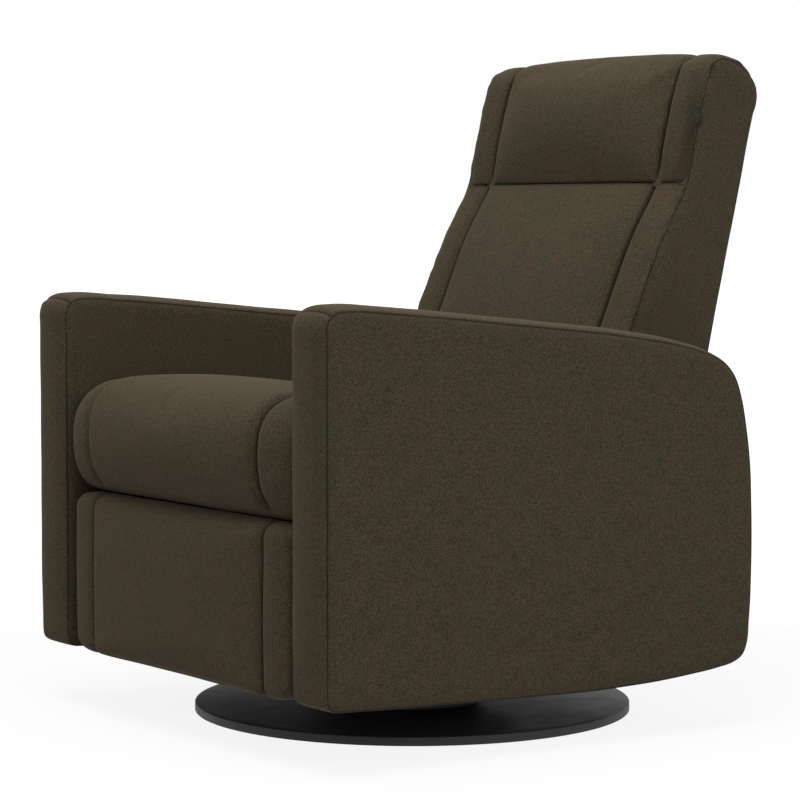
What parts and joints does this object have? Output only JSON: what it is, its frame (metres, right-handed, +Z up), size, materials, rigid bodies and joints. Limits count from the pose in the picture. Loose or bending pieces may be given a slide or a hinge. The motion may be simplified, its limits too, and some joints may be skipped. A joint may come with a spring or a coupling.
{
  "type": "swivel glider recliner",
  "caption": "Upholstered nursery armchair with slab arms that swivels and glides on a round steel base, with a reclining back, sliding seat and folding footrest.",
  "frame": {"origin": "on the floor, on the swivel axis, under the middle of the round base", "axes": "+Z up, -Y the way the sitter faces, +X towards the sitter's left arm"},
  "size_m": [0.7715, 0.8385, 0.9392],
  "materials": {
    "upholstery": "heathered felt-like wool blend",
    "black_steel": "black powder coat, satin",
    "zinc_steel": "zinc plated",
    "bright_steel": "plain steel",
    "plywood": "raw birch plywood and beech",
    "foam": "cut polyurethane foam",
    "felt": "pressed felt",
    "webbing": "woven elastic webbing",
    "black_plastic": "moulded nylon"
  },
  "bodies": {
    "base": {"base_cover": "black_steel", "base_core": "plywood", "floor_ring": "felt", "lower_race": "zinc_steel", "bearing_balls": "bright_steel", "pivot_bolt": "zinc_steel"},
    "turntable": {"upper_race": "zinc_steel", "cradle_plate": "black_steel", "cradle_sides": "black_steel", "hanger_pins": "zinc_steel"},
    "rear_links": {"rear_link_left": "black_steel", "rear_link_right": "black_steel", "rear_link_bearings": "zinc_steel"},
    "front_links": {"front_link_left": "black_steel", "front_link_right": "black_steel", "front_link_bearings": "zinc_steel"},
    "chassis": {"rail_left": "black_steel", "rail_right": "black_steel", "carrier_pins": "zinc_steel", "front_cross_tube": "black_steel", "rear_cross_tube": "black_steel", "arm_bolts": "zinc_steel", "arm_panel_left": "plywood", "arm_panel_right": "plywood", "arm_cover_left": "upholstery", "arm_cover_right": "upholstery", "rear_board": "plywood", "rear_cover": "upholstery", "seat_tracks": "zinc_steel", "track_screws": "bright_steel", "release_bezel": "black_plastic", "release_cable": "black_plastic", "latch_bracket": "zinc_steel"},
    "paddle": {"release_paddle": "black_plastic"},
    "latch": {"latch_lever": "bright_steel"},
    "seat": {"side_plates": "zinc_steel", "seat_rollers": "black_plastic", "seat_pivot_pins": "bright_steel", "seat_front_rail": "plywood", "seat_rear_rail": "plywood", "seat_side_rails": "plywood", "seat_webbing": "webbing", "seat_foam": "foam", "seat_cushion": "upholstery"},
    "back": {"back_brackets": "zinc_steel", "back_stiles": "plywood", "back_top_rail": "plywood", "back_bottom_rail": "plywood", "back_shell": "upholstery", "lumbar_cushion": "upholstery", "headrest_cushion": "upholstery"},
    "drive": {"drive_link_left": "black_steel", "drive_link_right": "black_steel", "drive_tube": "black_steel", "elbow_pins": "bright_steel"},
    "lift": {"lift_links": "black_steel", "footrest_pins": "bright_steel"},
    "footrest": {"footrest_brackets": "black_steel", "footrest_board": "plywood", "footrest_cushion": "upholstery"}
  },
  "joints": [
    {"name": "swivel", "type": "hinge", "parent": "base", "child": "turntable", "pos_m": [0, 0, 0.0213], "axis": [0, 0, 1], "continuous": true},
    {"name": "glide", "type": "hinge", "parent": "turntable", "child": "rear_links", "pos_m": [0, 0.11, 0.2], "axis": [1, 0, 0], "range_deg": [-20, 20]},
    {"name": "front_glide", "type": "hinge", "parent": "turntable", "child": "front_links", "pos_m": [0, -0.11, 0.2], "axis": [1, 0, 0], "range_deg": [-20, 20]},
    {"name": "chassis_level", "type": "hinge", "parent": "rear_links", "child": "chassis", "pos_m": [0, 0.11, 0.09], "axis": [1, 0, 0], "range_deg": [-20, 20]},
    {"name": "seat_slide", "type": "slide", "parent": "chassis", "child": "seat", "axis": [0, -1, 0], "range_m": [0, 0.04]},
    {"name": "recline", "type": "hinge", "parent": "seat", "child": "back", "pos_m": [0, 0.215, 0.36], "axis": [-1, 0, 0], "range_deg": [0, 35]},
    {"name": "footrest_drive", "type": "hinge", "parent": "seat", "child": "drive", "pos_m": [0, -0.285, 0.262], "axis": [-1, 0, 0], "range_deg": [0, 60]},
    {"name": "footrest_lift", "type": "hinge", "parent": "drive", "child": "lift", "pos_m": [0, -0.32034, 0.09571], "axis": [-1, 0, 0], "range_deg": [-120, 0]},
    {"name": "footrest_tilt", "type": "hinge", "parent": "lift", "child": "footrest", "pos_m": [0, -0.30849, 0.2653], "axis": [-1, 0, 0], "range_deg": [0, 150]},
    {"name": "release_paddle", "type": "hinge", "parent": "chassis", "child": "paddle", "pos_m": [-0.38, -0.173, 0.43], "axis": [0, 0, -1], "range_deg": [0, 25], "stiffness_Nm_per_rad": 0.3, "springref_deg": -8.59},
    {"name": "latch_lever", "type": "hinge", "parent": "chassis", "child": "latch", "pos_m": [-0.2765, -0.2179, 0.1366], "axis": [-1, 0, 0], "range_deg": [0, 20]}
  ],
  "couplings": [
    {"joint": "front_glide", "follows": "glide", "ratio": 1},
    {"joint": "chassis_level", "follows": "glide", "ratio": -1},
    {"joint": "seat_slide", "follows": "recline", "m_per_rad": 0.065481},
    {"joint": "footrest_lift", "follows": "footrest_drive", "ratio": -2},
    {"joint": "footrest_tilt", "follows": "footrest_drive", "ratio": 2.5},
    {"joint": "latch_lever", "follows": "release_paddle", "ratio": 0.8}
  ]
}
